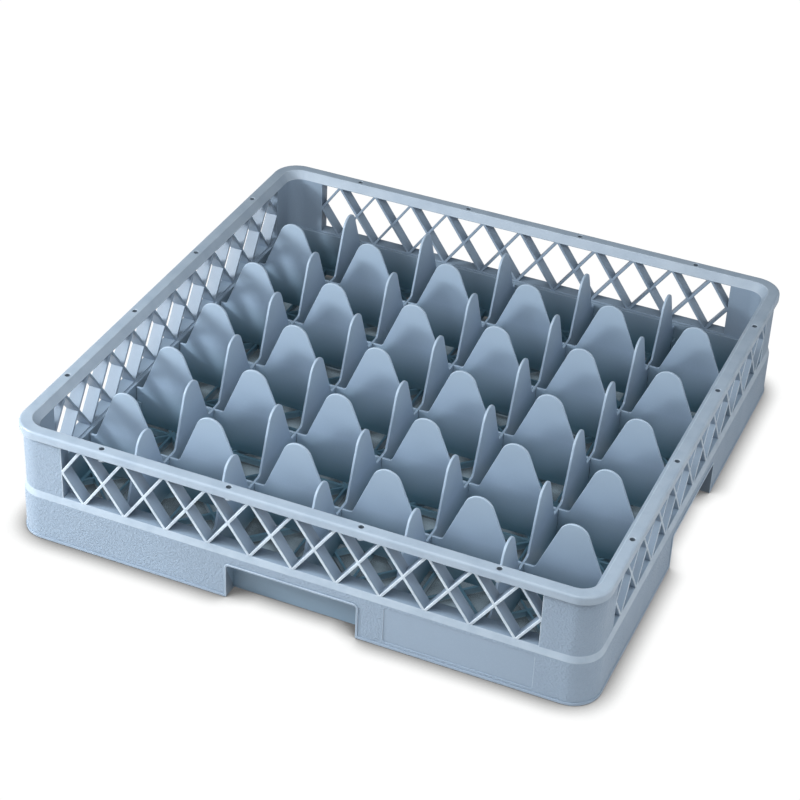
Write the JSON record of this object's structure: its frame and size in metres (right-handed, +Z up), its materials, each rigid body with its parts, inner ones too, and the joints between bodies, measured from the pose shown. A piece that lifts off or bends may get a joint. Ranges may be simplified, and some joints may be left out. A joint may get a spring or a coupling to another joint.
{
  "type": "glass washer rack",
  "caption": "Square open-topped plastic rack with lattice windows in its walls and a wavy-edged grid of interlocking dividers that makes cells for glasses.",
  "frame": {"origin": "centre of the footprint, on the plane the rack stands on", "axes": "+X along the front to the right, +Y from front to back, +Z up"},
  "size_m": [0.5, 0.5, 0.105],
  "materials": {
    "rack_plastic": "fine moulded grain outside, smooth inside",
    "divider_plastic": "smooth, satin"
  },
  "bodies": {
    "rack": {"rack_base": "rack_plastic"},
    "divider_grid": {"cross_divider_1": "divider_plastic", "cross_divider_2": "divider_plastic", "cross_divider_3": "divider_plastic", "cross_divider_4": "divider_plastic", "cross_divider_5": "divider_plastic"},
    "long_divider_1": {"long_divider_1": "divider_plastic"},
    "long_divider_2": {"long_divider_2": "divider_plastic"},
    "long_divider_3": {"long_divider_3": "divider_plastic"},
    "long_divider_4": {"long_divider_4": "divider_plastic"},
    "long_divider_5": {"long_divider_5": "divider_plastic"}
  },
  "joints": [
    {"name": "divider_grid_lift", "type": "slide", "parent": "rack", "child": "divider_grid", "axis": [0, 0, 1], "range_m": [0, 0.12]},
    {"name": "long_divider_1_lift", "type": "slide", "parent": "divider_grid", "child": "long_divider_1", "axis": [0, 0, 1], "range_m": [0, 0.1]},
    {"name": "long_divider_2_lift", "type": "slide", "parent": "divider_grid", "child": "long_divider_2", "axis": [0, 0, 1], "range_m": [0, 0.1]},
    {"name": "long_divider_3_lift", "type": "slide", "parent": "divider_grid", "child": "long_divider_3", "axis": [0, 0, 1], "range_m": [0, 0.1]},
    {"name": "long_divider_4_lift", "type": "slide", "parent": "divider_grid", "child": "long_divider_4", "axis": [0, 0, 1], "range_m": [0, 0.1]},
    {"name": "long_divider_5_lift", "type": "slide", "parent": "divider_grid", "child": "long_divider_5", "axis": [0, 0, 1], "range_m": [0, 0.1]}
  ]
}
